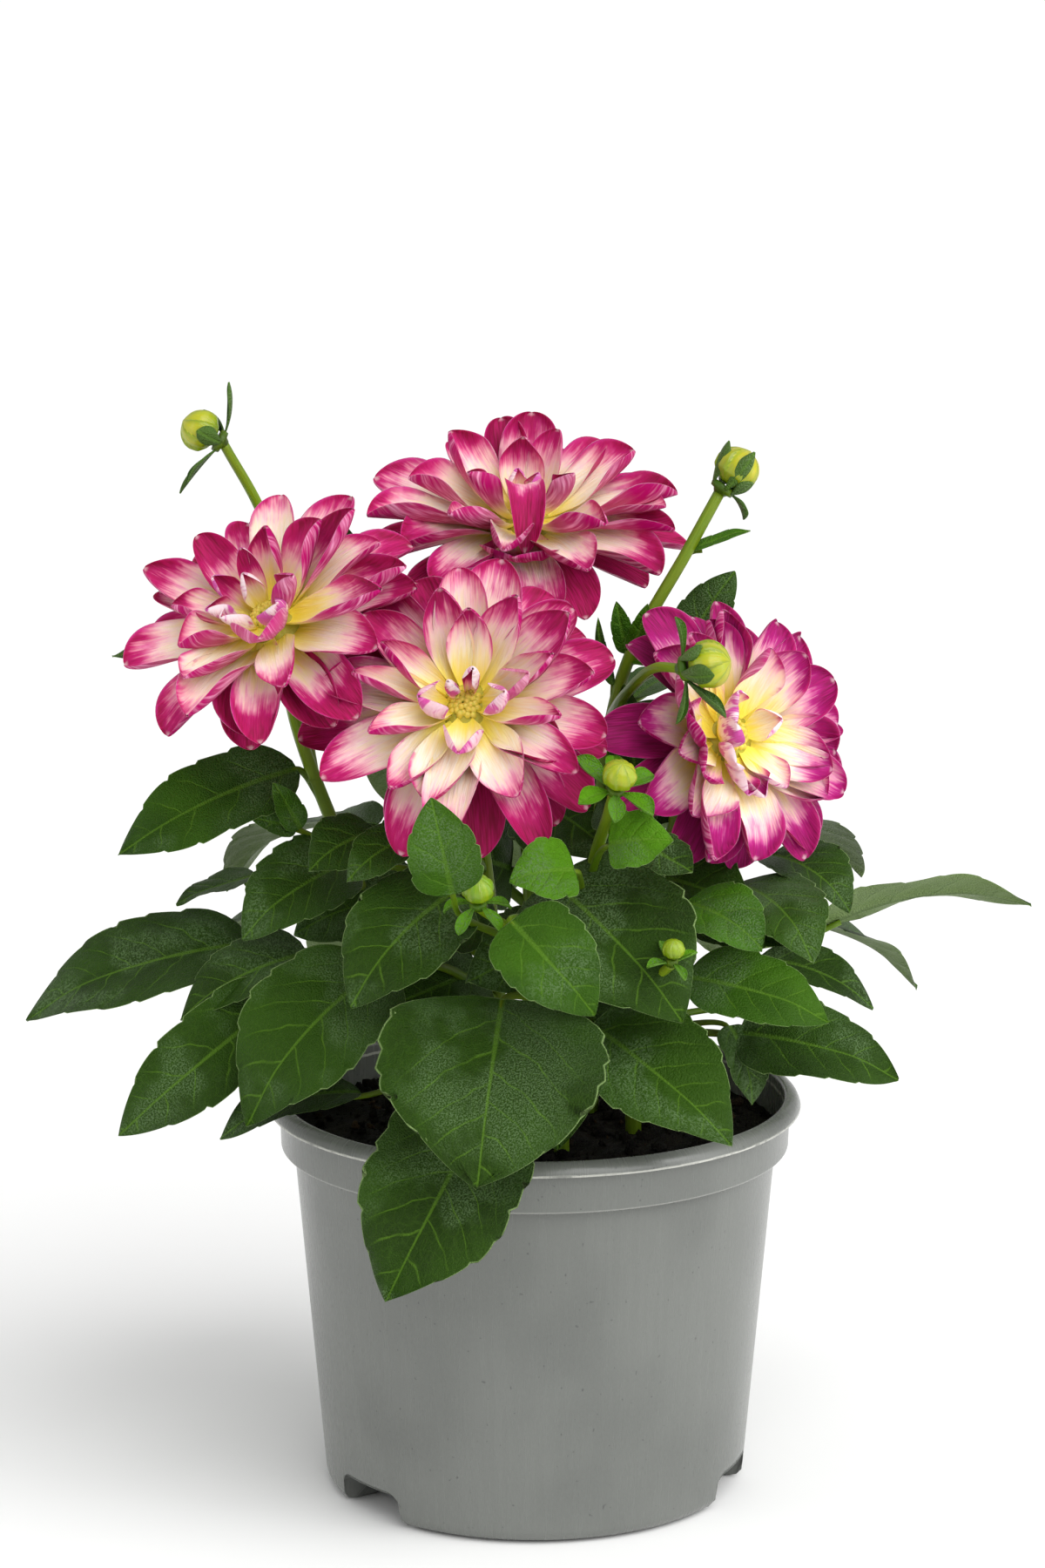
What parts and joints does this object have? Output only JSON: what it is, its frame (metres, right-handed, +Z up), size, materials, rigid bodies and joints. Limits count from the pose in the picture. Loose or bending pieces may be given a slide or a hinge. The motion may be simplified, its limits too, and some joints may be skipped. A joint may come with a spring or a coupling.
{
  "type": "potted dahlia",
  "caption": "Flowering dahlia in a tapered nursery pot: layered two-tone blooms and round buds on leafy stems that stand in dark soil.",
  "frame": {"origin": "on the surface the pot stands on, at the pot's axis, which is also the middle of the plant's spread", "axes": "+Z up along the pot's axis, -Y towards the front of the plant, +X to the right seen from the front"},
  "size_m": [0.2631, 0.1967, 0.2842],
  "materials": {
    "pot_plastic": "satin",
    "soil": "matte",
    "leaf_green": "satin",
    "petal": "satin",
    "bud_green": "satin"
  },
  "bodies": {
    "root": {"pot": "pot_plastic", "soil": "soil", "stem_left": "leaf_green", "stem_back": "leaf_green", "stem_front": "leaf_green", "stem_right": "leaf_green", "stem_bud_right": "leaf_green", "stem_bud_front": "leaf_green", "bloom_back": "petal", "bloom_left": "petal", "bloom_front": "petal", "bloom_right": "petal", "bud_left": "bud_green", "bud_right": "bud_green", "bud_middle": "bud_green", "bud_front": "bud_green", "bud_low": "bud_green", "bud_hidden": "bud_green"}
  },
  "joints": []
}
